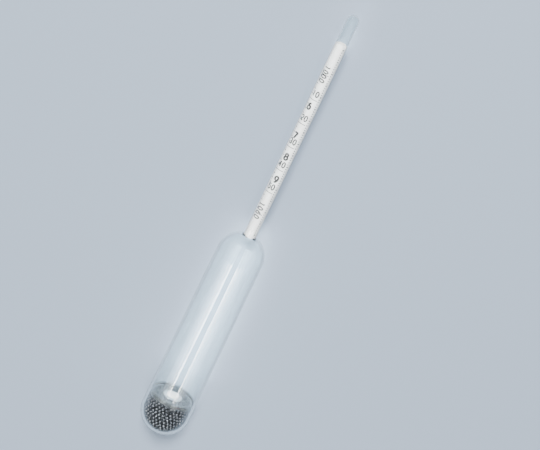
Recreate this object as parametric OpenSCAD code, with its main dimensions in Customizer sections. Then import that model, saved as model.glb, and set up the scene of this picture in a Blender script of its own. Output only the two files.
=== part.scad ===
// Glass hydrometer lying on its side: stem along +X, body resting on z = 0, scale facing up.
// Lengths called "at" run along the instrument, from the round end of the float.

/* [Glass envelope] */
// Overall length, round end to sealed tip
total_l = 231.5; // [180:0.5:320]
// Outside diameter of the float at the ballast end
float_d = 24.5; // [18:0.1:34]
// Outside diameter of the float where the shoulder dome starts
shoulder_d = 23.1; // [16:0.1:32]
// Where the shoulder dome starts
shoulder_at = 101.3; // [70:0.1:150]
// Wall of the float
float_wall = 1.3; // [0.8:0.05:2]
// Outside diameter of the stem
stem_d = 5.9; // [4:0.1:10]
// Wall of the stem
stem_wall = 0.6; // [0.4:0.05:1.2]
// Radius of the flame-worked hollow between shoulder and stem
neck_fillet = 1.6; // [0.8:0.1:3]
// Plain neck left above that hollow before the weld
neck_l = 0.8; // [0.4:0.1:4]

/* [Ballast] */
// Where the flat face of the retainer meets the shot
retainer_at = 19.4; // [15:0.1:40]
// Diameter of one ball
ball_d = 2.4; // [2:0.1:4]
// Air between neighbouring balls
ball_gap = 0.04; // [0.02:0.01:0.3]
// Turn from one layer of balls to the next
layer_turn = 17; // [0:1:60]

/* [Retainer and seal] */
// Thickness of the clear retainer
retainer_t = 1.2; // [0.8:0.1:3]
// Height that its rim climbs up the glass
rim_h = 1.2; // [0.4:0.1:3]
// Width left at the top of the rim
rim_land = 0.25; // [0.1:0.05:1]
// Diameter of the wax drop in the middle
wax_d = 6.6; // [3:0.1:9]
// Height of the wax drop
wax_h = 1.7; // [0.8:0.1:3]
// Diameter of the thin wax film round the drop
film_d = 9.6; // [6:0.1:14]
// Thickness of that film
film_t = 0.25; // [0.15:0.05:0.8]
// Clearance of the retainer in the float
retainer_clear = 0.02; // [0.01:0.01:0.1]

/* [Paper scale] */
// Clear stem left above the paper, up to the tip
clear_top = 14.7; // [6:0.1:40]
// How far the paper's lower end reaches below the weld
paper_drop = 2.2; // [0.5:0.1:2.4]
// Thickness of the paper
paper_t = 0.1; // [0.08:0.01:0.2]
// Air between two turns of the roll, as a share of the paper
roll_air = 0.15; // [0.1:0.05:0.5]
// Angle by which the roll laps over itself
lap_deg = 35; // [15:1:90]
// Where the lap's outer edge is, turned from straight up towards -Y
lap_at_deg = 58; // [30:1:180]
// Clearance of the paper in the stem
paper_clear = 0.05; // [0.03:0.01:0.2]

/* [Printed graduations] */
// Specific gravity of the highest line
sg_top = 1.000; // [0.9:0.01:1.2]
// Specific gravity of the lowest line
sg_low = 1.060; // [1.02:0.01:1.3]
// Specific gravity between two lines
sg_step = 0.002; // [0.001:0.001:0.01]
// Lines from one long line to the next
lines_per_long = 5; // [2:1:10]
// Blank paper above the highest line
blank_top = 16.1; // [5:0.1:30]
// Blank paper below the lowest line
blank_low = 13.2; // [5:0.1:30]
// Where every line starts, turned from straight up towards +Y
line_from_deg = 76; // [40:1:100]
// Angle that a short line covers
short_deg = 22; // [10:1:60]
// Angle that a long line covers
long_deg = 100; // [40:1:120]
// Width of a line
line_w = 0.16; // [0.1:0.02:0.4]
// Thickness of the ink
ink_t = 0.03; // [0.02:0.01:0.06]

/* [Scale adhesive] */
// Drops of adhesive under the paper's lower end
drop_count = 3; // [1:1:6]
// Diameter of one drop
drop_d = 0.9; // [0.5:0.1:1.4]
// Where the first drop is, turned from the underside towards -Y
drop_at_deg = 25; // [0:1:120]
// Clearance of a drop from glass and paper
drop_clear = 0.01; // [0.01:0.01:0.05]

/* [Hidden] */
$fn = 96;

float_r = float_d / 2;
shoulder_r = shoulder_d / 2;
stem_r = stem_d / 2;
bore_r = stem_r - stem_wall;

// The float's side is straight between two circles, and touches both where they are "lean" off square.
lean = asin((float_r - shoulder_r) / (shoulder_at - float_r));

// The hollow's circle touches the shoulder dome and the stem.
hollow_x = stem_r + neck_fillet;
hollow_y = shoulder_at + sqrt(pow(shoulder_r + neck_fillet, 2) - pow(hollow_x, 2));
touch = shoulder_r / (shoulder_r + neck_fillet);
weld_at = hollow_y + neck_l;

paper_at = weld_at - paper_drop;
paper_l = total_l - clear_top - paper_at;
paper_r = bore_r - paper_clear;
// The roll tightens by one thickness and a little air each turn.
roll_step = paper_t * (1 + roll_air);

top_line_at = paper_at + paper_l - blank_top;
span_l = paper_l - blank_top - blank_low;
line_count = round((sg_low - sg_top) / sg_step);
// Air under the ink, which keeps it clear of the paper's flats.
ink_lift = 0.004;

glass = [0.82, 0.9, 0.93, 0.35];
steel = [0.36, 0.37, 0.39];
wax = [0.9, 0.89, 0.84];
paper = [0.95, 0.94, 0.91];
ink = [0.17, 0.15, 0.16];
amber = [0.55, 0.4, 0.22];

// Radius of the float's straight side, in by "wall", at a distance from the round end.
function side_r(at, wall) = (float_r - wall) / cos(lean) - (at - float_r) * tan(lean);

// Length above the scale's highest line at which the instrument floats in a liquid.
function line_at(sg) = top_line_at - span_l * (1 - sg_top / sg) / (1 - sg_top / sg_low);

// Everything is drawn standing up the z axis, then laid down with the scale upwards.
module lay_down() {
    translate([-total_l / 2, 0, float_r]) rotate([0, 90, 0]) children();
}

// Half the outline of the float without its neck, in by "wall".
module float_outline(wall) {
    low_y = float_r + (float_r - wall) * sin(lean);
    high_y = shoulder_at + (shoulder_r - wall) * sin(lean);
    intersection() {
        translate([0, float_r]) circle(r = float_r - wall);
        translate([0, -1]) square([float_d, low_y + 1]);
    }
    polygon([[0, low_y], [(float_r - wall) * cos(lean), low_y],
             [(shoulder_r - wall) * cos(lean), high_y], [0, high_y]]);
    intersection() {
        translate([0, shoulder_at]) circle(r = shoulder_r - wall);
        translate([0, high_y]) square([float_d, shoulder_d]);
    }
}

// The hollow's own section: everything between dome and stem, less its circle.
module neck_outline() {
    foot = [hollow_x * touch, shoulder_at + (hollow_y - shoulder_at) * touch];
    inset = float_wall / 4;
    difference() {
        polygon([[0, foot[1] - float_wall], [foot[0] - inset, foot[1] - float_wall], foot,
                 [hollow_x, hollow_y], [0, hollow_y]]);
        translate([hollow_x, hollow_y]) circle(r = neck_fillet);
    }
    square_up(0, stem_r, hollow_y, weld_at);
}

module square_up(x0, x1, y0, y1) {
    translate([x0, y0]) square([x1 - x0, y1 - y0]);
}

module float_bulb() {
    color(glass) lay_down() rotate_extrude() difference() {
        union() {
            float_outline(0);
            neck_outline();
        }
        float_outline(float_wall);
        square_up(-1, bore_r, shoulder_at, weld_at + 1);
    }
}

module stem_tube() {
    tip_at = total_l - stem_r;
    color(glass) lay_down() rotate_extrude() {
        square_up(bore_r, stem_r, weld_at, tip_at);
        intersection() {
            difference() {
                translate([0, tip_at]) circle(r = stem_r);
                translate([0, tip_at]) circle(r = bore_r);
            }
            square_up(0, stem_d, tip_at, total_l + 1);
        }
    }
}

// Balls lie in flat layers of rings, the outer ring of each layer against the glass.
module ballast_shot() {
    pitch = ball_d + ball_gap;
    r = ball_d / 2 + ball_gap / 2;
    lowest = float_wall + r;
    layers = floor((retainer_at - r - lowest) / pitch);
    color(steel) lay_down() for (k = [0 : layers]) {
        at = retainer_at - r - k * pitch;
        inner = float_r - float_wall - r;
        below = max(0, float_r - at);
        reach = at > float_r ? side_r(at, float_wall) - r : sqrt(max(0, inner * inner - below * below));
        rings = floor(reach / pitch);
        for (j = [0 : rings]) {
            ring_r = reach - j * pitch;
            count = ring_r < pitch / 2 ? 1 : floor(180 / asin(min(1, pitch / 2 / ring_r)));
            place_r = count == 1 ? 0 : ring_r;
            for (i = [0 : count - 1])
                rotate(360 * i / count + layer_turn * k) translate([place_r, 0, at]) sphere(d = ball_d);
        }
    }
}

module shot_retainer() {
    top = retainer_at + retainer_t;
    edge = side_r(top + rim_h, float_wall) - retainer_clear;
    rim_x = edge - rim_land - rim_h;
    color(glass) lay_down() rotate_extrude() difference() {
        square_up(0, edge, retainer_at, top + rim_h);
        // the rim rises to the glass in a hollow curve
        square_up(-1, rim_x, top, top + rim_h + 1);
        intersection() {
            translate([rim_x, top + rim_h]) circle(r = rim_h);
            square_up(rim_x - 0.01, edge, top - 1, top + rim_h);
        }
    }
}

module wax_plug() {
    top = retainer_at + retainer_t;
    cap_r = (pow(wax_d / 2, 2) + pow(wax_h, 2)) / (2 * wax_h);
    color(wax) lay_down() rotate_extrude() {
        square_up(0, film_d / 2, top, top + film_t);
        intersection() {
            translate([0, top + wax_h - cap_r]) circle(r = cap_r);
            square_up(0, film_d, top, top + wax_h + 1);
        }
    }
}

// A strip of the rolled paper's section between two angles, from "lift" above its face to "deep" below.
module rolled(from_deg, to_deg, lift, deep) {
    step = 5;
    n = ceil((to_deg - from_deg) / step);
    function face_r(a) = paper_r - ink_t - 2 * ink_lift - roll_step * a / 360;
    function spot(a, up) = [cos(a) * (face_r(a) + up), sin(a) * (face_r(a) + up)];
    function angle(i) = from_deg + (to_deg - from_deg) * i / n;
    polygon(concat([for (i = [0 : n]) spot(angle(i), lift)], [for (i = [n : -1 : 0]) spot(angle(i), -deep)]));
}

// Angle 0 of the roll is the lap's outer edge, and angles grow towards +Y over the top.
module on_roll() {
    lay_down() rotate(180 + lap_at_deg) mirror([0, 1, 0]) children();
}

module paper_scale() {
    color(paper) on_roll() translate([0, 0, paper_at]) linear_extrude(paper_l)
        rolled(0, 360 + lap_deg, 0, paper_t);
}

module scale_graduations() {
    first = lap_at_deg + line_from_deg;
    color(ink) on_roll() for (i = [0 : line_count]) {
        covers = i % lines_per_long == 0 ? long_deg : short_deg;
        translate([0, 0, line_at(sg_top + i * sg_step) - line_w / 2]) linear_extrude(line_w)
            rolled(first - covers, first, ink_t + ink_lift, -ink_lift);
    }
}

module scale_adhesive() {
    drop_room = drop_d / 2 + drop_clear;
    color(amber) lay_down() for (i = [0 : drop_count - 1])
        rotate(360 * i / drop_count + drop_at_deg)
            translate([bore_r - drop_room, 0, paper_at - drop_room]) sphere(d = drop_d);
}

float_bulb();
stem_tube();
ballast_shot();
shot_retainer();
wax_plug();
paper_scale();
scale_graduations();
scale_adhesive();
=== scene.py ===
import math
import bpy
import bmesh
import numpy as np
from mathutils import Matrix, Vector


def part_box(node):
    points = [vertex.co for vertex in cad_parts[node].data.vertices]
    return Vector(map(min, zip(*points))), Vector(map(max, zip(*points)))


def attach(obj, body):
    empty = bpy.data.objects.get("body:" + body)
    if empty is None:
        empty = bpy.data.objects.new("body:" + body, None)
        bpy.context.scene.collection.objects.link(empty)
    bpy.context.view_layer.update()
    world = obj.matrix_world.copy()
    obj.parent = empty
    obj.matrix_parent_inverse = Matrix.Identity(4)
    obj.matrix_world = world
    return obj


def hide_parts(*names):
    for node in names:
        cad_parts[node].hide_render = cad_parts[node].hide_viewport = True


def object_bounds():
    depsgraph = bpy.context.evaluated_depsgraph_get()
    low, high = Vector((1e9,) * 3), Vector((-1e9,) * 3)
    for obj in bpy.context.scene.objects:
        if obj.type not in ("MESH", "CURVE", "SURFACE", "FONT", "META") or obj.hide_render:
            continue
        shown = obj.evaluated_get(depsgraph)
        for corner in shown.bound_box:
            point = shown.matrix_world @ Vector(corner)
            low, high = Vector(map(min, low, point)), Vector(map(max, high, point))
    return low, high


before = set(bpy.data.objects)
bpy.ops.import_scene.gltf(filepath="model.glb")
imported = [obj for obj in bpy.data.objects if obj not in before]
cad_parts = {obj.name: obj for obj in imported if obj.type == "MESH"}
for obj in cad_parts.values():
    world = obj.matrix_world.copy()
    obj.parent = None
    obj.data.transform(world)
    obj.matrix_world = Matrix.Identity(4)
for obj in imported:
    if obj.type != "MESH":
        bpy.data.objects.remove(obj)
cadLow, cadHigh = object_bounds()
print("frame loaded", len(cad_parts), "nodes")

mm = 0.001
tiny = 1e-9                              # keeps a length that is divided by off zero
startX = cadLow.x                        # the round end of the float
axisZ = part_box("float_bulb")[1][2] / 2   # the float lies on the floor, so its axis is one radius up
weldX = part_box("stem_tube")[0][0]
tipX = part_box("stem_tube")[1][0]


def toLinear(code):  # sRGB hex to linear
    parts = [int(code[i:i + 2], 16) / 255 for i in (1, 3, 5)]
    return tuple(c / 12.92 if c <= 0.04045 else ((c + 0.055) / 1.055) ** 2.4 for c in parts) + (1.0,)


def addNode(tree, kind, settings=None, links=None):
    node = tree.nodes.new(kind)
    for key, value in (settings or {}).items():
        if isinstance(key, str) and hasattr(node, key):
            setattr(node, key, value)
        else:
            node.inputs[key].default_value = value
    for key, source in (links or {}).items():
        tree.links.new(source, node.inputs[key])
    return node


def newMaterial(name, settings):
    material = bpy.data.materials.new(name)
    material.use_nodes = True
    tree = material.node_tree
    shader = tree.nodes["Principled BSDF"]
    for key, value in settings.items():
        shader.inputs[key].default_value = value
    place = addNode(tree, "ShaderNodeTexCoord").outputs["Object"]
    return material, tree, shader, place


def setRamp(node, stops):
    ramp = node.color_ramp
    while len(ramp.elements) < len(stops):
        ramp.elements.new(0.5)
    for element, (position, color) in zip(ramp.elements, stops):
        element.position = position
        element.color = color
    return node


# Edges that bend by more than sharpDeg are shown sharp.
def makePiece(name, points, faces, material, replaced, sharpDeg):
    mesh = bpy.data.meshes.new(name)
    mesh.from_pydata(points, [], faces)
    mesh.validate()
    mesh.shade_smooth()
    mesh.set_sharp_from_angle(angle=math.radians(sharpDeg))
    mesh.materials.append(material)
    piece = bpy.data.objects.new(name, mesh)
    bpy.context.scene.collection.objects.link(piece)
    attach(piece, "root")
    if replaced:
        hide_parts(*replaced)
    return piece


# The faces between neighbouring closed rings of points.
def bands(rings, turns):
    here = np.arange(rings - 1)[:, None] * turns
    around = np.arange(turns)[None, :]
    after = (around + 1) % turns
    corners = [here + around, here + turns + around, here + turns + after, here + after]
    return np.stack(corners, -1).reshape(-1, 4).tolist()


# A closed surface turned about the instrument's axis: each profile point (distance along, radius)
# becomes a ring of "turns" points, and the two ends on the axis are one point each.
# ripple(along, angle) is added to the radius.
def turned(profile, turns, ripple=None, flip=False):
    along = profile[1:-1, 0][:, None]
    radius = profile[1:-1, 1][:, None]
    angle = np.linspace(0, 2 * math.pi, turns, endpoint=False)[None, :]
    if ripple is not None:
        radius = radius + ripple(along, angle)
    x = along + 0 * angle
    rings = np.stack([x, radius * np.sin(angle), axisZ + radius * np.cos(angle)], -1).reshape(-1, 3)
    ends = np.array([[profile[0, 0], 0, axisZ], [profile[-1, 0], 0, axisZ]])
    points = np.vstack([rings, ends])
    rows = len(profile) - 2
    first, last = rows * turns, rows * turns + 1
    ring = np.arange(turns)
    following = (ring + 1) % turns
    startCap = np.stack([np.full(turns, first), ring, following], -1)
    lastRow = (rows - 1) * turns
    endCap = np.stack([np.full(turns, last), lastRow + following, lastRow + ring], -1)
    faces = bands(rows, turns) + startCap.tolist() + endCap.tolist()
    if flip:
        faces = [f[::-1] for f in faces]
    return points, faces


# Points on a circle arc round (centre along, centre radius), from one angle to another in degrees,
# 0 pointing along the instrument towards the tip and 90 pointing outwards.
def arc(centre, radius, fromDeg, toDeg, count):
    a = np.radians(np.linspace(fromDeg, toDeg, count))
    return np.stack([centre[0] + radius * np.cos(a), centre[1] + radius * np.sin(a)], -1)


def straight(start, end, count):
    t = np.linspace(0, 1, count)[:, None]
    return np.array(start) * (1 - t) + np.array(end) * t


def joined(*runs):  # runs end to end, leaving out repeated points
    points = np.vstack(runs)
    step = np.linalg.norm(np.diff(points, axis=0), axis=1)
    return points[np.concatenate([[True], step > 0.0001 * mm])]


cameraView = {
    "place": (0.461, 0.0, 1.148),
    "target": (-0.0043, -0.0065, -0.0141),
    "leanDeg": 25.8,       # how far the stem leans right of upright in the camera's view
    "lens": 175,
    "sensor": 36,
}


def makeCamera():
    data = bpy.data.cameras.new("camera")
    data.lens = cameraView["lens"]
    data.sensor_width = cameraView["sensor"]
    data.clip_start, data.clip_end = 0.05, 50
    camera = bpy.data.objects.new("camera", data)
    bpy.context.scene.collection.objects.link(camera)
    place = Vector(cameraView["place"])
    ahead = (Vector(cameraView["target"]) - place).normalized()
    stem = Vector((1, 0, 0))
    stem = (stem - ahead * stem.dot(ahead)).normalized()
    right = ahead.cross(stem)
    lean = math.radians(cameraView["leanDeg"])
    up = stem * math.cos(lean) - right * math.sin(lean)
    right = ahead.cross(up)
    turn = Matrix((right, up, -ahead)).transposed()
    camera.matrix_world = Matrix.Translation(place) @ turn.to_4x4()
    bpy.context.scene.camera = camera


makeCamera()
print("camera made")


glassEnvelope = {
    "floatRadius": 12.25 * mm,
    "shoulderRadius": 11.55 * mm,
    "shoulderAt": 101.3 * mm,
    "floatWall": 1.3 * mm,
    "endThicker": 0.15 * mm,     # blown ends are thicker than the side
    "stemRadius": 2.95 * mm,
    "stemWall": 0.6 * mm,
    "hollowRadius": 1.6 * mm,
    "insideHollow": 1.0 * mm,    # the cavity flows into the stem's bore on this radius
    "weldBead": 0.05 * mm,
    "weldReach": 0.5 * mm,
    "unevenness": 0.02 * mm,
    "evenFrom": 2.0 * mm,        # the unevenness fades over this length at the shoulder
    "endSteps": 40,              # points on the round end
    "sideSteps": 50,             # points on the side
    "turns": 192,
}


def sodaLimeGlass():
    # Clear soda-lime glass tube, flame-worked: bright sharp reflections, faint green-blue where it is
    # thick, a slow lens-like unevenness, and hairline rubs from handling.
    material, tree, shader, place = newMaterial("sodaLimeGlass", {
        "Base Color": toLinear("#F6FBFB"), "Roughness": 0.012, "IOR": 1.52, "Transmission Weight": 1.0})
    stretched = addNode(tree, "ShaderNodeMapping", {"Scale": (0.25, 1, 1)}, {"Vector": place})
    slow = addNode(tree, "ShaderNodeTexNoise", {"Scale": 160.0, "Detail": 1.0},
                   {"Vector": stretched.outputs[0]})
    bump = addNode(tree, "ShaderNodeBump", {"Strength": 0.05, "Distance": 0.0004},
                   {"Height": slow.outputs[0]})
    tree.links.new(bump.outputs[0], shader.inputs["Normal"])
    rubs = addNode(tree, "ShaderNodeMapping", {"Scale": (60, 900, 900), "Rotation": (0.1, 0.5, 0.3)},
                   {"Vector": place})
    hair = addNode(tree, "ShaderNodeTexNoise", {"Scale": 3.0, "Detail": 3.0, "Roughness": 0.6},
                   {"Vector": rubs.outputs[0]})
    worn = addNode(tree, "ShaderNodeMapRange", {
        "From Min": 0.62, "From Max": 0.75, "To Min": 0.006, "To Max": 0.09}, {"Value": hair.outputs[0]})
    tree.links.new(worn.outputs[0], shader.inputs["Roughness"])
    return material


def makeEnvelope():
    g = glassEnvelope
    ends = g["endSteps"]
    narrowing = g["floatRadius"] - g["shoulderRadius"]
    lean = math.degrees(math.asin(narrowing / (g["shoulderAt"] - g["floatRadius"])))
    lowC = (startX + g["floatRadius"], 0.0)
    highC = (startX + g["shoulderAt"], 0.0)
    hollowR = g["stemRadius"] + g["hollowRadius"]
    reach = g["shoulderRadius"] + g["hollowRadius"]
    hollowC = (highC[0] + math.sqrt(reach ** 2 - hollowR ** 2), hollowR)
    touchDeg = math.degrees(math.asin(hollowR / reach))
    tipC = (tipX - g["stemRadius"], 0.0)
    # outside: round end, side, shoulder, hollow, stem, round tip
    outside = joined(
        arc(lowC, g["floatRadius"], 180, 90 - lean, ends),
        arc(highC, g["shoulderRadius"], 90 - lean, touchDeg, 34),
        arc(hollowC, g["hollowRadius"], touchDeg + 180, 270, 10),
        straight((weldX, g["stemRadius"]), (tipC[0], g["stemRadius"]), 40),
        arc(tipC, g["stemRadius"], 90, 0, 16))
    side = straight(outside[ends - 1], outside[ends], g["sideSteps"])[1:-1]
    outside = np.vstack([outside[:ends], side, outside[ends:]])
    bore = g["stemRadius"] - g["stemWall"]
    inShoulder = g["shoulderRadius"] - g["floatWall"]
    inHollow = g["insideHollow"]
    inHollowR = bore + inHollow
    inReach = inShoulder + inHollow
    inHollowC = (highC[0] + math.sqrt(inReach ** 2 - inHollowR ** 2), inHollowR)
    inTouchDeg = math.degrees(math.asin(inHollowR / inReach))
    innerLow = arc(lowC, g["floatRadius"] - g["floatWall"], 180, 90 - lean, ends)
    thick = g["endThicker"] * np.clip((lowC[0] - innerLow[:, 0]) / g["floatRadius"], 0, 1) ** 3
    innerLow[:, 0] += thick
    inner = joined(
        innerLow,
        arc(highC, inShoulder, 90 - lean, inTouchDeg, 34),
        arc(inHollowC, inHollow, inTouchDeg + 180, 270, 10),
        straight((inHollowC[0], bore), (tipC[0], bore), 40),
        arc(tipC, bore, 90, 0, 14))
    innerSide = straight(inner[ends - 1], inner[ends], g["sideSteps"])[1:-1]
    inner = np.vstack([inner[:ends], innerSide, inner[ends:]])

    # two slow waves along and round the tube, shifted by seedTurn, and on the outside, where that is 0,
    # one low bead where stem and neck are fused
    def uneven(seedTurn):
        def ripple(x, angle):
            waves = np.sin(2 * angle + 31 * x + seedTurn) + 0.6 * np.sin(3 * angle - 74 * x + 2 * seedTurn)
            onFloat = 1 / (1 + np.exp((x - highC[0]) / g["evenFrom"]))
            bead = g["weldBead"] * np.exp(-((x - weldX) / g["weldReach"]) ** 2)
            return 0.5 * g["unevenness"] * waves * onFloat + bead * (seedTurn == 0)
        return ripple

    outerPoints, outerFaces = turned(outside, g["turns"], uneven(0))
    innerPoints, innerFaces = turned(inner, g["turns"], uneven(1.7), flip=True)
    offset = len(outerPoints)
    faces = outerFaces + [[i + offset for i in f] for f in innerFaces]
    envelope = makePiece("glassEnvelope", np.vstack([outerPoints, innerPoints]), faces,
                         sodaLimeGlass(), ("float_bulb", "stem_tube"), 60)
    # thin clear glass hardly dims what lies inside, so the lamps light that directly
    envelope.visible_shadow = False


makeEnvelope()
print("glass envelope made")


shotPile = {
    "ballRadius": 0.9 * mm,
    "clear": 0.04 * mm,      # air between a ball and its neighbours or the glass
    "layerStep": 0.83,       # from one layer to the next one in, in ball pitches
    "rowStep": 0.9,          # from one row to the next along a layer, in ball pitches
    "rowTurn": 0.4,          # how far each row is turned on from the one before, in radians
    "looseness": 0.01,       # how far a ball is off its row, in ball radii
    "settling": 90,          # rounds of pushing apart
    "closest": 0.93,         # balls nearer than this share of a ball are crowded
    "seed": 11,
}


def steelShot():
    # Bare steel shot, tumbled in oil: dark grey balls with a small soft highlight, each a little duller
    # or brighter than the next.
    material, tree, shader, place = newMaterial("steelShot", {
        "Base Color": toLinear("#64656A"), "Metallic": 1.0, "Roughness": 0.32})
    cells = addNode(tree, "ShaderNodeTexVoronoi", {"Scale": 560.0}, {"Vector": place})
    shade = setRamp(addNode(tree, "ShaderNodeValToRGB", None, {"Fac": cells.outputs["Color"]}), [
        (0.1, toLinear("#585A60")), (0.9, toLinear("#74757A"))])
    tree.links.new(shade.outputs[0], shader.inputs["Base Color"])
    grain = addNode(tree, "ShaderNodeTexNoise", {"Scale": 4000.0, "Detail": 2.0}, {"Vector": place})
    rough = addNode(tree, "ShaderNodeMapRange", {"To Min": 0.32, "To Max": 0.38}, {"Value": grain.outputs[0]})
    tree.links.new(rough.outputs[0], shader.inputs["Roughness"])
    return material


# One layer of balls whose centres lie "inside" the glass by that much: rows round the axis, spaced evenly
# along the curve from the retainer down the side and the round end to its pole. Every other row is turned
# by half a ball more.
def layerPlaces(inside, lowX, topX, rng):
    g, s = glassEnvelope, shotPile
    pitch = 2 * s["ballRadius"] + s["clear"]
    centreX = startX + g["floatRadius"]
    radius = g["floatRadius"] - g["floatWall"] - inside
    quarter = radius * math.pi / 2
    rows = np.arange(quarter + topX - centreX, 0, -s["rowStep"] * pitch)
    onSide = rows > quarter
    turn = np.minimum(rows / radius, math.pi / 2)
    rowX = np.where(onSide, centreX + rows - quarter, centreX - radius * np.cos(turn))
    rowX = np.maximum(rowX, lowX)
    rowR = np.where(onSide, radius, radius * np.sin(turn))
    places = []
    for k, (x, across) in enumerate(zip(rowX, rowR)):
        count = max(1, int(2 * math.pi * across / pitch))
        a = 2 * math.pi * (np.arange(count) + 0.5 * (k % 2)) / count + s["rowTurn"] * k
        places.append(np.stack([np.full(count, x), across * np.sin(a), across * np.cos(a)], -1))
    places = np.vstack(places)
    return places + rng.normal(0, s["looseness"] * s["ballRadius"], places.shape)


# The layers are filled from the glass inwards. Then balls that overlap push each other apart and the glass
# and retainer push them back in, until they lie as a close pile.
def pilePlaces():
    g, s = glassEnvelope, shotPile
    r = s["ballRadius"]
    pitch = 2 * r + s["clear"]
    centreX = startX + g["floatRadius"]
    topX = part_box("shot_retainer")[0][0] - r - s["clear"]
    lowX = startX + g["floatWall"] + g["endThicker"] + r + s["clear"]
    roundR = g["floatRadius"] - g["floatWall"] - r - s["clear"]
    rng = np.random.default_rng(s["seed"])
    depths = np.arange(r + s["clear"], g["floatRadius"] - g["floatWall"], s["layerStep"] * pitch)
    p = np.vstack([layerPlaces(depth, lowX, topX, rng) for depth in depths])
    for settlingRound in range(s["settling"]):
        square = (p ** 2).sum(1)
        apart = square[:, None] + square[None, :] - 2 * p @ p.T
        i, j = np.nonzero(np.triu(apart < pitch * pitch, 1))
        away = p[i] - p[j]
        length = np.linalg.norm(away, axis=1)[:, None] + tiny
        push = away / length * (pitch - length) * 0.5
        for axis in range(3):
            p[:, axis] += np.bincount(i, push[:, axis], len(p)) - np.bincount(j, push[:, axis], len(p))
        across = np.hypot(p[:, 1], p[:, 2]) + tiny
        p[:, 1:] *= np.minimum(1, roundR / across)[:, None]
        p[:, 0] = np.clip(p[:, 0], lowX, topX)
        away = p - [centreX, 0, 0]
        length = np.linalg.norm(away, axis=1) + tiny
        shrink = np.where(p[:, 0] < centreX, np.minimum(1, roundR / length), 1)
        p = [centreX, 0, 0] + away * shrink[:, None]
    # the layers near the axis are crowded: of two balls that are still too close, the one nearer the axis
    # is left out
    square = (p ** 2).sum(1)
    apart = np.sqrt(np.maximum(square[:, None] + square[None, :] - 2 * p @ p.T, 0))
    i, j = np.nonzero(np.triu(apart < 2 * r * s["closest"], 1))
    across = np.hypot(p[:, 1], p[:, 2])
    dropped = set()
    for one, other in zip(i.tolist(), j.tolist()):
        if one not in dropped and other not in dropped:
            dropped.add(one if across[one] < across[other] else other)
    kept = np.setdiff1d(np.arange(len(p)), sorted(dropped))
    print("shot settled:", len(kept), "balls,", len(dropped), "crowded ones left out")
    return p[kept] + [0, 0, axisZ]


def makeShot():
    ball = bmesh.new()
    bmesh.ops.create_icosphere(ball, subdivisions=2, radius=shotPile["ballRadius"])
    shape = np.array([v.co for v in ball.verts])
    sides = np.array([[v.index for v in f.verts] for f in ball.faces])
    ball.free()
    places = pilePlaces()
    points = (places[:, None, :] + shape[None, :, :]).reshape(-1, 3)
    faces = (np.arange(len(places))[:, None, None] * len(shape) + sides[None]).reshape(-1, 3)
    makePiece("steelShot", points, faces.tolist(), steelShot(), ("ballast_shot",), 180)


makeShot()
print("shot made")


retainer = {
    "thickness": 1.2 * mm,
    "rimHeight": 1.2 * mm,
    "rimLand": 0.25 * mm,        # width of the rim's flat top
    "rimTaper": 0.02 * mm,       # how far the rim leans off the glass at its top
    "clear": 0.03 * mm,
    "edgeRound": 0.12 * mm,
    "turns": 128,
}

waxDrop = {
    "radius": 3.3 * mm,
    "height": 1.7 * mm,
    "filmRadius": 4.8 * mm,
    "filmThickness": 0.25 * mm,
    "whiteOver": 0.3 * mm,       # the height over which the clear film turns into the white drop
    "blunt": 2.4,                # 2 makes the drop an ellipse, more makes its top flatter
    "uneven": 0.18 * mm,
    "turns": 72,
}


def milkyResin():
    # Cast epoxy resin, slightly milky: a glossy skin over a pale clouded body with a few stirring streaks.
    material, tree, shader, place = newMaterial("milkyResin", {
        "Base Color": toLinear("#EAF1F6"), "Roughness": 0.05, "IOR": 1.5, "Transmission Weight": 0.94})
    streaks = addNode(tree, "ShaderNodeTexNoise", {"Scale": 300.0, "Detail": 2.0, "Distortion": 1.5},
                      {"Vector": place})
    bump = addNode(tree, "ShaderNodeBump", {"Strength": 0.12, "Distance": 0.0003},
                   {"Height": streaks.outputs[0]})
    tree.links.new(bump.outputs[0], shader.inputs["Normal"])
    return material


def whiteWax():
    # Sealing wax, white and translucent: light sinks in a millimetre or so, the skin is satin with soft
    # dimples, and the thin film round the drop is greyer.
    material, tree, shader, place = newMaterial("whiteWax", {
        "Base Color": toLinear("#E6EAEC"), "Roughness": 0.42, "IOR": 1.44,
        "Subsurface Weight": 0.15, "Subsurface Scale": 0.0008})
    clouds = addNode(tree, "ShaderNodeTexNoise", {"Scale": 500.0, "Detail": 4.0}, {"Vector": place})
    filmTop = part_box("wax_plug")[0][0] + waxDrop["filmThickness"]
    height = addNode(tree, "ShaderNodeSeparateXYZ", None, {0: place})
    thick = addNode(tree, "ShaderNodeMapRange", {
        "From Min": filmTop, "From Max": filmTop + waxDrop["whiteOver"], "To Min": 0.0, "To Max": 0.8},
        {"Value": height.outputs["X"]})
    mottled = addNode(tree, "ShaderNodeMath", {"operation": "MULTIPLY_ADD", 1: 0.3},
                      {0: clouds.outputs[0], 2: thick.outputs[0]})
    tone = setRamp(addNode(tree, "ShaderNodeValToRGB", None, {"Fac": mottled.outputs[0]}), [
        (0.1, toLinear("#9FAEBC")), (0.9, toLinear("#FAFBFB"))])
    tree.links.new(tone.outputs[0], shader.inputs["Base Color"])
    bump = addNode(tree, "ShaderNodeBump", {"Strength": 0.3, "Distance": 0.0002},
                   {"Height": clouds.outputs[0]})
    tree.links.new(bump.outputs[0], shader.inputs["Normal"])
    return material


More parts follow.
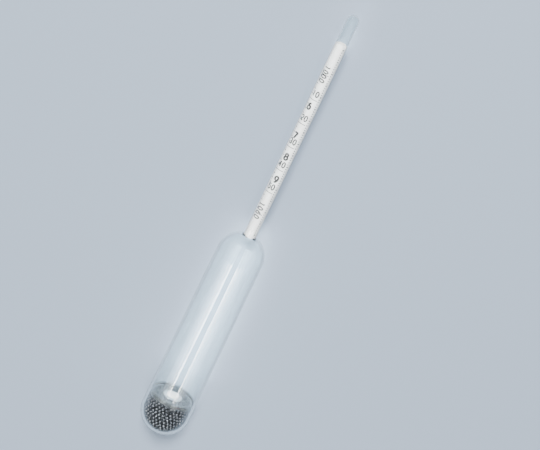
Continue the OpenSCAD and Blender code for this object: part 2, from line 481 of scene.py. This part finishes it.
def makeRetainer():
    r = retainer
    g = glassEnvelope
    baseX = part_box("shot_retainer")[0][0]
    slope = (g["floatRadius"] - g["shoulderRadius"]) / (g["shoulderAt"] - g["floatRadius"])
    top = baseX + r["thickness"]
    edge = g["floatRadius"] - g["floatWall"] - r["clear"] - slope * (top - startX - g["floatRadius"])
    rimX = edge - r["rimLand"] - r["rimHeight"]
    profile = joined(
        straight((baseX, 0), (baseX, edge - r["edgeRound"]), 12),
        arc((baseX + r["edgeRound"], edge - r["edgeRound"]), r["edgeRound"], 180, 90, 6),
        straight((baseX + r["edgeRound"], edge), (top + r["rimHeight"], edge - r["rimTaper"]), 8),
        arc((top + r["rimHeight"], rimX), r["rimHeight"], 90, 180, 14),
        straight((top, rimX), (top, 0), 12))
    points, faces = turned(profile, r["turns"])
    makePiece("shotRetainer", points, faces, milkyResin(), ("shot_retainer",), 30)


def makeWax():
    w = waxDrop
    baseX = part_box("wax_plug")[0][0]
    # the drop's height falls from its middle to the film as a smooth hump, and the film ends in a round edge
    t = np.linspace(0, 1, 30)
    hump = np.sqrt(np.clip(1 - t ** w["blunt"], 0, 1))
    dropX = baseX + w["filmThickness"] + (w["height"] - w["filmThickness"]) * hump
    drop = np.stack([dropX, w["radius"] * t], -1)
    edgeR = w["filmThickness"] / 2
    film = arc((baseX + edgeR, w["filmRadius"] - edgeR), edgeR, 0, 180, 8)
    profile = joined(straight((baseX, 0), (baseX, w["filmRadius"] - edgeR), 10), film[::-1], drop[::-1])

    # two and three lobes round the drop, stronger higher up, and none on the face that lies on the retainer
    def ripple(x, angle):
        lift = np.clip((x - baseX) / w["height"], 0, 1)
        lobes = np.sin(2 * angle + 0.7) + 0.7 * np.sin(3 * angle + 2.1)
        return w["uneven"] * lobes * (0.5 + lift) * (x > baseX)

    points, faces = turned(profile, w["turns"], ripple)
    makePiece("waxDrop", points, faces, whiteWax(), ("wax_plug",), 50)


makeRetainer()
makeWax()
print("retainer and wax made")


paperRoll = {
    "thickness": 0.1 * mm,
    "faceRadius": 2.262 * mm,    # at the lap's outer edge
    "tighten": 0.115 * mm,       # radius lost each turn
    "lapAtDeg": 58,              # where the lap's outer edge is, from straight up towards the camera's right
    "lapDeg": 35,
    "pressedRadius": 2.358 * mm,  # at both sides the roll springs out to the bore
    "pressedFromDeg": 58,
    "pressedToDeg": 118,
    "pressedEaseDeg": 8,
    "acrossPoints": 180,
    "alongPoints": 60,
}


# Radius of the paper's face at an angle from straight up, positive to the right: it falls evenly
# from the lap's outer edge round to the left, and eases out to the bore at both sides.
def faceRadius(rightDeg):
    p = paperRoll
    rolled = p["faceRadius"] - p["tighten"] * (p["lapAtDeg"] - rightDeg) / 360
    side = np.abs((rightDeg + 180.0) % 360 - 180)
    insideDeg = np.minimum(side - p["pressedFromDeg"], p["pressedToDeg"] - side)
    ease = np.clip(insideDeg / p["pressedEaseDeg"], 0, 1)
    return rolled + (p["pressedRadius"] - rolled) * ease ** 2 * (3 - 2 * ease)


def onRoll(along, rightDeg, lift):
    radius = faceRadius(rightDeg) + lift
    a = np.radians(rightDeg)
    return np.stack([along, -radius * np.sin(a), axisZ + radius * np.cos(a)], -1)


def scalePaper():
    # Smooth coated scale paper: slightly warm white, soft sheen, faint fibres and a little foxing.
    material, tree, shader, place = newMaterial("scalePaper", {
        "Base Color": toLinear("#EDE8E6"), "Roughness": 0.6, "Sheen Weight": 0.05})
    fibre = addNode(tree, "ShaderNodeTexNoise", {"Scale": 2500.0, "Detail": 4.0, "Roughness": 0.7},
                    {"Vector": place})
    patches = addNode(tree, "ShaderNodeTexNoise", {"Scale": 120.0, "Detail": 3.0}, {"Vector": place})
    tone = setRamp(addNode(tree, "ShaderNodeValToRGB", None, {"Fac": patches.outputs[0]}), [
        (0.3, toLinear("#F1ECEA")), (0.7, toLinear("#FAF8F7"))])
    speck = addNode(tree, "ShaderNodeMix", {"data_type": "RGBA", "blend_type": "MULTIPLY", "Factor": 0.06},
                    {6: tone.outputs[0], 7: fibre.outputs["Color"]})
    tree.links.new(speck.outputs[2], shader.inputs["Base Color"])
    bump = addNode(tree, "ShaderNodeBump", {"Strength": 0.25, "Distance": 0.00004},
                   {"Height": fibre.outputs[0]})
    tree.links.new(bump.outputs[0], shader.inputs["Normal"])
    return material


def makePaper():
    p = paperRoll
    low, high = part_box("paper_scale")
    lowEndDeg = p["lapAtDeg"] - 360 - p["lapDeg"]
    angles = np.linspace(p["lapAtDeg"], lowEndDeg, p["acrossPoints"])
    along, angle = np.meshgrid(np.linspace(low[0], high[0], p["alongPoints"]), angles, indexing="ij")
    # a closed loop round the sheet's section (out on the face, back on the rear), carried along the stem
    faceGrid = onRoll(along, angle, 0)
    rearGrid = onRoll(along, angle, -p["thickness"])
    rings = np.concatenate([faceGrid, rearGrid[:, ::-1]], axis=1)
    rows, loop = rings.shape[:2]
    k = np.arange(len(angles) - 1)
    startEdge = np.stack([k, k + 1, loop - 2 - k, loop - 1 - k], -1)
    endEdge = (rows - 1) * loop + startEdge[:, ::-1]
    faces = bands(rows, loop) + startEdge.tolist() + endEdge.tolist()
    makePiece("paperScale", rings.reshape(-1, 3), faces, scalePaper(), ("paper_scale",), 40)


makePaper()
print("paper scale made")


scalePrint = {
    "topLine": 1.000,            # specific gravity at the first and the last line
    "lowLine": 1.060,
    "step": 0.002,
    "longEvery": 5,
    "blankTop": 16.1 * mm,       # from the paper's upper end to the first line
    "blankLow": 13.2 * mm,       # from the last line to the paper's lower end
    "inkThickness": 0.02 * mm,
    "inkLift": 0.006 * mm,
    "acrossPoints": 5,           # points across a stroke, so that it follows the roll
    "turnStepDeg": 4,            # longest step round the roll
    "bendStepDeg": 15,           # longest step on the curve of a numeral
    "lineWidth": 0.3 * mm,
    "linesFromDeg": -76,
    "shortDeg": 22,
    "longDeg": 100,
    "sideTicksDeg": (40, 53),
    "sideTickEvery": 1.25 * mm,
    "sideTicksFrom": 2.4 * mm,   # from the paper's lower end
    "sideTicksTo": 1.0 * mm,     # from its upper end
    "longTickDeg": 6,            # how much further a long side tick reaches
    "tickWidths": (1.7, 2.2),    # a short and a long side tick, in line widths
}

# The three kinds of number: where each stands (its gravity, how far its middle is above that line, degrees
# from straight up), and the height, width, gap and stroke of its figures.
endNumbers = {
    "set": ((1.000, 0.2 * mm, -30, "1000"), (1.060, 1.7 * mm, -30, "1060")),
    "height": 2.5 * mm,
    "width": 1.4 * mm,
    "gap": 0.9 * mm,
    "stroke": 0.56 * mm,
    "downStem": True,
}

tenNumbers = {
    "set": ((1.010, 3.05 * mm, -24, "10"), (1.020, 3.05 * mm, -24, "20"), (1.030, 3.05 * mm, -24, "30"),
            (1.040, 3.05 * mm, -24, "40"), (1.050, 3.05 * mm, -24, "50")),
    "height": 2.7 * mm,
    "width": 1.25 * mm,
    "gap": 0.6 * mm,
    "stroke": 0.56 * mm,
    "downStem": False,
}

largeNumbers = {
    "set": ((1.0137, 1.3 * mm, -30, "6"), (1.0260, 1.3 * mm, -28, "7"), (1.0351, 1.3 * mm, -14, "8"),
            (1.0451, 1.3 * mm, -6, "9")),
    "height": 3.2 * mm,
    "width": 1.6 * mm,
    "gap": 0.0,
    "stroke": 0.85 * mm,
    "downStem": False,
}


def printingInk():
    # Offset printing ink: matt near-black with a brown cast, thinner and greyer in places.
    material, tree, shader, place = newMaterial("printingInk", {
        "Base Color": toLinear("#2B2728"), "Roughness": 0.55})
    wear = addNode(tree, "ShaderNodeTexNoise", {"Scale": 1800.0, "Detail": 3.0}, {"Vector": place})
    tone = setRamp(addNode(tree, "ShaderNodeValToRGB", None, {"Fac": wear.outputs[0]}), [
        (0.35, toLinear("#0B090A")), (0.75, toLinear("#292426"))])
    tree.links.new(tone.outputs[0], shader.inputs["Base Color"])
    return material


# Where a line is along the stem: depth follows the displaced volume, which goes as one over gravity.
def lineAt(gravity):
    p = scalePrint
    low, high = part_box("paper_scale")
    top = high[0] - p["blankTop"]
    span = top - low[0] - p["blankLow"]
    return top - span * (1 - p["topLine"] / gravity) / (1 - p["topLine"] / p["lowLine"])


# A pen stroke as a closed thin ribbon on the paper. Its path is distances along the stem and round the
# paper from straight up; the ribbon reaches half a width to either side, square to the path, in steps
# small enough to follow the roll. A path that ends where it starts is a loop.
def inkRibbon(path, width):
    p = scalePrint
    loop = np.allclose(path[0], path[-1])
    if loop:
        path = path[:-1]
        ahead = np.roll(path, -1, axis=0) - np.roll(path, 1, axis=0)
    else:
        ahead = np.gradient(path, axis=0)
    ahead = ahead / np.linalg.norm(ahead, axis=1)[:, None]
    side = np.stack([-ahead[:, 1], ahead[:, 0]], -1) * width
    degPerM = 180 / math.pi / paperRoll["faceRadius"]
    shares = np.linspace(-0.5, 0.5, p["acrossPoints"])
    under = [(share, 0) for share in shares]
    over = [(share, p["inkThickness"]) for share in shares[::-1]]
    rows = []
    for share, lift in under + over:
        edge = path + share * side
        rows.append(onRoll(edge[:, 0], edge[:, 1] * degPerM, p["inkLift"] + lift))
    n = len(path)
    k = np.arange(n if loop else n - 1)
    after = (k + 1) % n
    faces = []
    for row in range(len(rows)):
        low, high = row * n, (row + 1) % len(rows) * n
        faces += np.stack([low + k, low + after, high + after, high + k], -1).tolist()
    if not loop:
        ends = [row * n for row in range(len(rows))]
        faces += [ends, [end + n - 1 for end in ends[::-1]]]
    return np.vstack(rows), faces


def inkPiece(name, strokes, ink, replaced=()):
    points, faces, total = [], [], 0
    for path, width in strokes:
        ribbon, sides = inkRibbon(path, width)
        faces += [[v + total for v in f] for f in sides]
        total += len(ribbon)
        points.append(ribbon)
    return makePiece(name, np.vstack(points), faces, ink, replaced, 40)


# A straight printed line round the paper, from one angle to another.
def bar(along, fromDeg, toDeg, width):
    perDeg = paperRoll["faceRadius"] * math.pi / 180
    count = max(3, int(abs(toDeg - fromDeg) / scalePrint["turnStepDeg"]) + 1)
    return straight((along, fromDeg * perDeg), (along, toDeg * perDeg), count), width


def bend(x, y, radiusX, radiusY, fromDeg, toDeg):  # part of an ellipse in a numeral's own box
    count = max(5, int(abs(toDeg - fromDeg) / scalePrint["bendStepDeg"]))
    a = np.radians(np.linspace(fromDeg, toDeg, count))
    return np.stack([x + radiusX * np.cos(a), y + radiusY * np.sin(a)], -1)


boxWidth = 0.56   # a numeral's own box is this wide and 1 tall, with its lower left corner at the origin


# The strokes of one numeral in its box. A nine is a six turned round.
def numeral(sign):
    if sign == "9":
        return [[boxWidth, 1] - stroke for stroke in numeral("6")]
    lines = {
        "0": [bend(0.28, 0.5, 0.26, 0.5, 90, 450)],
        "1": [straight((0.12, 0.86), (0.3, 1.0), 4), straight((0.3, 1.0), (0.3, 0), 8)],
        "2": [np.vstack([bend(0.28, 0.72, 0.25, 0.28, 165, -35), straight((0.4, 0.45), (0.04, 0.06), 5)]),
              straight((0, 0.04), (0.56, 0.04), 6)],
        "3": [bend(0.26, 0.75, 0.23, 0.25, 155, -90), bend(0.26, 0.26, 0.27, 0.26, 90, -155)],
        "4": [straight((0.4, 0), (0.4, 1.0), 8), straight((0.4, 1.0), (0.02, 0.3), 7),
              straight((0, 0.3), (0.56, 0.3), 6)],
        "5": [straight((0.52, 0.97), (0.08, 0.97), 5), straight((0.1, 1.0), (0.07, 0.52), 5),
              bend(0.26, 0.32, 0.27, 0.32, 130, -145)],
        "6": [bend(0.28, 0.3, 0.25, 0.3, 180, 540), bend(0.56, 0.34, 0.53, 0.64, 98, 178)],
        "7": [straight((0, 0.97), (0.56, 0.97), 6), straight((0.54, 1.0), (0.2, 0), 8)],
        "8": [bend(0.28, 0.75, 0.21, 0.24, 90, 450), bend(0.28, 0.26, 0.26, 0.26, 90, 450)],
    }
    return lines[sign]


# A number set round its middle: upright, or turned to read down the stem with its feet to the left.
def printedNumber(words, along, rightDeg, style):
    step = boxWidth * (1 + style["gap"] / style["width"])
    starts = step * np.arange(len(words))
    middle = (starts[-1] + boxWidth) / 2
    roundAt = rightDeg * math.pi / 180 * paperRoll["faceRadius"]
    strokes = []
    for sign, start in zip(words, starts):
        for line in numeral(sign):
            x = (line[:, 0] + start - middle) * style["width"] / boxWidth
            y = (line[:, 1] - 0.5) * style["height"]
            if style["downStem"]:
                path = np.stack([along - x, roundAt + y], -1)
            else:
                path = np.stack([along + y, roundAt + x], -1)
            strokes.append((path, style["stroke"]))
    return strokes


def makePrint():
    p = scalePrint
    ink = printingInk()
    count = round((p["lowLine"] - p["topLine"]) / p["step"])
    fromDeg = p["linesFromDeg"]
    lines = []
    for i in range(count + 1):
        covers = p["longDeg"] if i % p["longEvery"] == 0 else p["shortDeg"]
        along = lineAt(p["topLine"] + i * p["step"])
        lines.append(bar(along, fromDeg, fromDeg + covers, p["lineWidth"]))
    inkPiece("scaleLines", lines, ink, ("scale_graduations",))

    low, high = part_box("paper_scale")
    tickPlaces = np.arange(low[0] + p["sideTicksFrom"], high[0] - p["sideTicksTo"], p["sideTickEvery"])
    innerDeg, outerDeg = p["sideTicksDeg"]
    ticks = []
    for i, along in enumerate(tickPlaces):
        longer = i % p["longEvery"] == 0
        reachDeg = outerDeg + (p["longTickDeg"] if longer else 0)
        ticks.append(bar(along, innerDeg, reachDeg, p["lineWidth"] * p["tickWidths"][longer]))
    inkPiece("sideTicks", ticks, ink)

    numbers = []
    for style in (endNumbers, tenNumbers, largeNumbers):
        for gravity, above, rightDeg, words in style["set"]:
            numbers += printedNumber(words, lineAt(gravity) + above, rightDeg, style)
    inkPiece("scaleNumbers", numbers, ink)


makePrint()
print("print made")


def amberGlue():
    # Dried hide glue: brown, glossy, a little see-through at the edges.
    material, tree, shader, place = newMaterial("amberGlue", {
        "Base Color": toLinear("#6B4A26"), "Roughness": 0.25, "IOR": 1.5, "Transmission Weight": 0.25})
    clouds = addNode(tree, "ShaderNodeTexNoise", {"Scale": 1500.0, "Detail": 3.0}, {"Vector": place})
    tone = setRamp(addNode(tree, "ShaderNodeValToRGB", None, {"Fac": clouds.outputs[0]}), [
        (0.3, toLinear("#4A2F17")), (0.7, toLinear("#8A6436"))])
    tree.links.new(tone.outputs[0], shader.inputs["Base Color"])
    return material


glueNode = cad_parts["scale_adhesive"]
for materialSlot in glueNode.material_slots:
    materialSlot.material = amberGlue()
print("glue finished")


studio = {
    "floorSide": 8.0,
    "floorColor": "#A9BACF",
    "worldColor": "#E2E8EE",
    "worldStrength": 0.3,
    "lampAway": 0.85,
    "lampX": -0.418,           # the glass mirrors the lamps from here to the camera
    "lampLength": 0.135,
    "leftShare": 1.15,         # the left lamps are a little stronger, so the shadow falls right
    "rightShare": 0.85,
    "strips": (                # each lamp's inner and outer edge in degrees from overhead, its brightness
        (14.6, 19.0, 70.0),
        (23.0, 34.0, 7.0),
        (34.0, 46.0, 3.5),
        (46.0, 58.0, 1.8),
    ),
    "fillPlace": (0.7, 0.12, 1.0),   # behind the camera and a little to its left
    "fillSide": 0.34,
    "fillBright": 64.0,
    "spread": 0.2,             # how far the lamps lean away from each other towards the round end
}


def mattBoard():
    # Painted board: even pale blue-grey, matt, with the faint tooth of a roller.
    material, tree, shader, place = newMaterial("mattBoard", {
        "Base Color": toLinear(studio["floorColor"]), "Roughness": 0.7})
    tooth = addNode(tree, "ShaderNodeTexNoise", {"Scale": 700.0, "Detail": 3.0}, {"Vector": place})
    bump = addNode(tree, "ShaderNodeBump", {"Strength": 0.08, "Distance": 0.0002},
                   {"Height": tooth.outputs[0]})
    tree.links.new(bump.outputs[0], shader.inputs["Normal"])
    return material


def makeStudio():
    s = studio
    half = s["floorSide"] / 2
    mesh = bpy.data.meshes.new("floor")
    corners = [(-half, -half, 0), (half, -half, 0), (half, half, 0), (-half, half, 0)]
    mesh.from_pydata(corners, [], [(0, 1, 2, 3)])
    mesh.materials.append(mattBoard())
    floor = bpy.data.objects.new("floor", mesh)
    bpy.context.scene.collection.objects.link(floor)
    world = bpy.data.worlds.new("studioWorld")
    bpy.context.scene.world = world
    world.use_nodes = True
    background = world.node_tree.nodes["Background"]
    background.inputs["Color"].default_value = toLinear(s["worldColor"])
    background.inputs["Strength"].default_value = s["worldStrength"]
    for name, side, share in (("left", 1, s["leftShare"]), ("right", -1, s["rightShare"])):
        for number, (innerDeg, outerDeg, bright) in enumerate(s["strips"]):
            makeLamp(f"{name}Lamp{number}", side, innerDeg, outerDeg, bright * share)
    makeFill()


# A flat lamp that faces the instrument and fills the angles between innerDeg and outerDeg from overhead
# on one side. Its brightness is its watts over pi times its area.
def makeLamp(name, side, innerDeg, outerDeg, bright):
    s = studio
    middle = math.radians((innerDeg + outerDeg) / 2)
    facing = Vector((0, side * math.sin(middle), math.cos(middle)))
    width = 2 * s["lampAway"] * math.tan(math.radians((outerDeg - innerDeg) / 2))
    data = bpy.data.lights.new(name, "AREA")
    data.shape = "RECTANGLE"
    data.size, data.size_y = s["lampLength"], width
    data.energy = bright * math.pi * s["lampLength"] * width
    light = bpy.data.objects.new(name, data)
    bpy.context.scene.collection.objects.link(light)
    along = Vector((1, -side * s["spread"], 0))
    along = (along - facing * along.dot(facing)).normalized()
    place = Vector((s["lampX"], 0, axisZ)) + facing * s["lampAway"]
    light.matrix_world = Matrix.Translation(place) @ Matrix(
        (along, facing.cross(along), facing)).transposed().to_4x4()
    light.visible_camera = False


# Bounced rays don't find the fill lamp, so it lights the paper and the shot without bands on the glass.
def makeFill():
    s = studio
    data = bpy.data.lights.new("fillLamp", "AREA")
    data.shape = "SQUARE"
    data.size = s["fillSide"]
    data.energy = s["fillBright"] * math.pi * s["fillSide"] ** 2
    data.cycles.use_multiple_importance_sampling = False
    light = bpy.data.objects.new("fillLamp", data)
    bpy.context.scene.collection.objects.link(light)
    place = Vector(s["fillPlace"])
    light.matrix_world = Matrix.Translation(place) @ place.to_track_quat("Z", "Y").to_matrix().to_4x4()
    light.visible_camera = False


makeStudio()
print("studio made")
